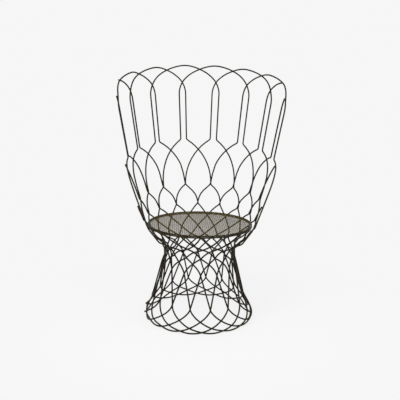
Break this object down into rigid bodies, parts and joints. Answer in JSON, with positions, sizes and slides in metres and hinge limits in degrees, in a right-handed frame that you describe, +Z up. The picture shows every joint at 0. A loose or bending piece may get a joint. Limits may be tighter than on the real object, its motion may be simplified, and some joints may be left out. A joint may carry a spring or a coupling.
{
  "type": "wire lounge chair",
  "caption": "High-backed lounge chair bent from crossing steel rods: an open lattice shell on an hourglass lattice base, with a flat round seat of fine mesh",
  "frame": {"origin": "on the floor, in the plane of the lowest points of the base loops, under the middle of the seat", "axes": "+Z up, the sitter faces -Y, the back is towards +Y, +X is to the right of someone who stands in front and looks at the chair"},
  "size_m": [0.7793, 0.7, 1.1562],
  "materials": {
    "painted_rod": "satin",
    "painted_ring": "satin",
    "seat_mesh_sheet": "satin",
    "mesh_clips": "satin"
  },
  "bodies": {
    "root": {"base_loop_01": "painted_rod", "base_loop_02": "painted_rod", "base_loop_03": "painted_rod", "base_loop_04": "painted_rod", "base_loop_05": "painted_rod", "base_loop_06": "painted_rod", "base_loop_07": "painted_rod", "base_loop_08": "painted_rod", "base_loop_09": "painted_rod", "base_loop_10": "painted_rod", "base_loop_11": "painted_rod", "base_loop_12": "painted_rod", "base_loop_13": "painted_rod", "base_loop_14": "painted_rod", "base_loop_15": "painted_rod", "base_loop_16": "painted_rod", "back_hoop_1": "painted_rod", "back_hoop_2": "painted_rod", "back_hoop_3": "painted_rod", "back_hoop_4": "painted_rod", "back_hoop_5": "painted_rod", "back_hoop_6": "painted_rod", "right_edge_rod_1": "painted_rod", "left_edge_rod_1": "painted_rod", "right_edge_rod_2": "painted_rod", "left_edge_rod_2": "painted_rod", "right_edge_rod_3": "painted_rod", "left_edge_rod_3": "painted_rod", "right_edge_rod_4": "painted_rod", "left_edge_rod_4": "painted_rod", "seat_strut_left_1": "painted_rod", "seat_strut_right_1": "painted_rod", "seat_strut_left_2": "painted_rod", "seat_strut_right_2": "painted_rod", "seat_strut_left_3": "painted_rod", "seat_strut_right_3": "painted_rod", "seat_strut_left_4": "painted_rod", "seat_strut_right_4": "painted_rod", "seat_strut_left_5": "painted_rod", "seat_strut_right_5": "painted_rod", "seat_strut_left_6": "painted_rod", "seat_strut_right_6": "painted_rod", "seat_ring": "painted_ring", "seat_rim": "painted_ring", "seat_mesh": "seat_mesh_sheet", "seat_mesh_clips": "mesh_clips"}
  },
  "joints": []
}
